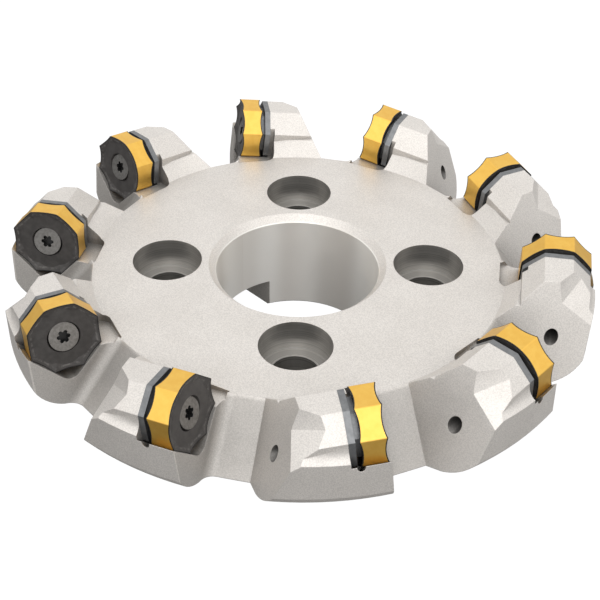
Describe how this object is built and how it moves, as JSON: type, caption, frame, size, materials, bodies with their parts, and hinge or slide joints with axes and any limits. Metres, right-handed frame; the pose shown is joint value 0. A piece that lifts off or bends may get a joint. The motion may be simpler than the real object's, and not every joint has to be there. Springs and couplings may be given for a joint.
{
  "type": "face mill",
  "caption": "Shell face mill: a bored disc with chip gullets around its rim and double-sided octagonal cutting inserts, each on a shim and held by a tilted screw.",
  "frame": {"origin": "Centre of the bore on the back face, where the cutter sits on its arbor.", "axes": "+Z is the spindle axis towards the cutting face. X runs along the drive slot. Y completes a right-handed frame."},
  "size_m": [0.2256, 0.2244, 0.0618],
  "materials": {
    "body_steel": "satin nickel-plated tool steel",
    "coated_carbide": "coated carbide: gold flanks, near-black rake faces",
    "shim_carbide": "ground uncoated carbide, grey-blue",
    "screw_steel": "bright screw steel"
  },
  "bodies": {
    "cutter": {"cutter_body": "body_steel", "shim_01": "shim_carbide", "shim_02": "shim_carbide", "shim_03": "shim_carbide", "shim_04": "shim_carbide", "shim_05": "shim_carbide", "shim_06": "shim_carbide", "shim_07": "shim_carbide", "shim_08": "shim_carbide", "shim_09": "shim_carbide", "shim_10": "shim_carbide"},
    "insert_01": {"insert_01": "coated_carbide"},
    "insert_screw_01": {"insert_screw_01": "screw_steel"},
    "insert_02": {"insert_02": "coated_carbide"},
    "insert_screw_02": {"insert_screw_02": "screw_steel"},
    "insert_03": {"insert_03": "coated_carbide"},
    "insert_screw_03": {"insert_screw_03": "screw_steel"},
    "insert_04": {"insert_04": "coated_carbide"},
    "insert_screw_04": {"insert_screw_04": "screw_steel"},
    "insert_05": {"insert_05": "coated_carbide"},
    "insert_screw_05": {"insert_screw_05": "screw_steel"},
    "insert_06": {"insert_06": "coated_carbide"},
    "insert_screw_06": {"insert_screw_06": "screw_steel"},
    "insert_07": {"insert_07": "coated_carbide"},
    "insert_screw_07": {"insert_screw_07": "screw_steel"},
    "insert_08": {"insert_08": "coated_carbide"},
    "insert_screw_08": {"insert_screw_08": "screw_steel"},
    "insert_09": {"insert_09": "coated_carbide"},
    "insert_screw_09": {"insert_screw_09": "screw_steel"},
    "insert_10": {"insert_10": "coated_carbide"},
    "insert_screw_10": {"insert_screw_10": "screw_steel"}
  },
  "joints": [
    {"name": "insert_01_lift", "type": "slide", "parent": "cutter", "child": "insert_01", "axis": [-0.0042, 0.9591, 0.2832], "range_m": [0, 0.009]},
    {"name": "insert_screw_01_out", "type": "slide", "parent": "insert_01", "child": "insert_screw_01", "axis": [-0.0042, 0.9591, 0.2832], "range_m": [0, 0.016]},
    {"name": "insert_02_lift", "type": "slide", "parent": "cutter", "child": "insert_02", "axis": [-0.5671, 0.7734, 0.2832], "range_m": [0, 0.009]},
    {"name": "insert_screw_02_out", "type": "slide", "parent": "insert_02", "child": "insert_screw_02", "axis": [-0.5671, 0.7734, 0.2832], "range_m": [0, 0.016]},
    {"name": "insert_03_lift", "type": "slide", "parent": "cutter", "child": "insert_03", "axis": [-0.9134, 0.2924, 0.2832], "range_m": [0, 0.009]},
    {"name": "insert_screw_03_out", "type": "slide", "parent": "insert_03", "child": "insert_screw_03", "axis": [-0.9134, 0.2924, 0.2832], "range_m": [0, 0.016]},
    {"name": "insert_04_lift", "type": "slide", "parent": "cutter", "child": "insert_04", "axis": [-0.9108, -0.3003, 0.2832], "range_m": [0, 0.009]},
    {"name": "insert_screw_04_out", "type": "slide", "parent": "insert_04", "child": "insert_screw_04", "axis": [-0.9108, -0.3003, 0.2832], "range_m": [0, 0.016]},
    {"name": "insert_05_lift", "type": "slide", "parent": "cutter", "child": "insert_05", "axis": [-0.5603, -0.7784, 0.2832], "range_m": [0, 0.009]},
    {"name": "insert_screw_05_out", "type": "slide", "parent": "insert_05", "child": "insert_screw_05", "axis": [-0.5603, -0.7784, 0.2832], "range_m": [0, 0.016]},
    {"name": "insert_06_lift", "type": "slide", "parent": "cutter", "child": "insert_06", "axis": [0.0042, -0.9591, 0.2832], "range_m": [0, 0.009]},
    {"name": "insert_screw_06_out", "type": "slide", "parent": "insert_06", "child": "insert_screw_06", "axis": [0.0042, -0.9591, 0.2832], "range_m": [0, 0.016]},
    {"name": "insert_07_lift", "type": "slide", "parent": "cutter", "child": "insert_07", "axis": [0.5671, -0.7734, 0.2832], "range_m": [0, 0.009]},
    {"name": "insert_screw_07_out", "type": "slide", "parent": "insert_07", "child": "insert_screw_07", "axis": [0.5671, -0.7734, 0.2832], "range_m": [0, 0.016]},
    {"name": "insert_08_lift", "type": "slide", "parent": "cutter", "child": "insert_08", "axis": [0.9134, -0.2924, 0.2832], "range_m": [0, 0.009]},
    {"name": "insert_screw_08_out", "type": "slide", "parent": "insert_08", "child": "insert_screw_08", "axis": [0.9134, -0.2924, 0.2832], "range_m": [0, 0.016]},
    {"name": "insert_09_lift", "type": "slide", "parent": "cutter", "child": "insert_09", "axis": [0.9108, 0.3003, 0.2832], "range_m": [0, 0.009]},
    {"name": "insert_screw_09_out", "type": "slide", "parent": "insert_09", "child": "insert_screw_09", "axis": [0.9108, 0.3003, 0.2832], "range_m": [0, 0.016]},
    {"name": "insert_10_lift", "type": "slide", "parent": "cutter", "child": "insert_10", "axis": [0.5603, 0.7784, 0.2832], "range_m": [0, 0.009]},
    {"name": "insert_screw_10_out", "type": "slide", "parent": "insert_10", "child": "insert_screw_10", "axis": [0.5603, 0.7784, 0.2832], "range_m": [0, 0.016]}
  ]
}
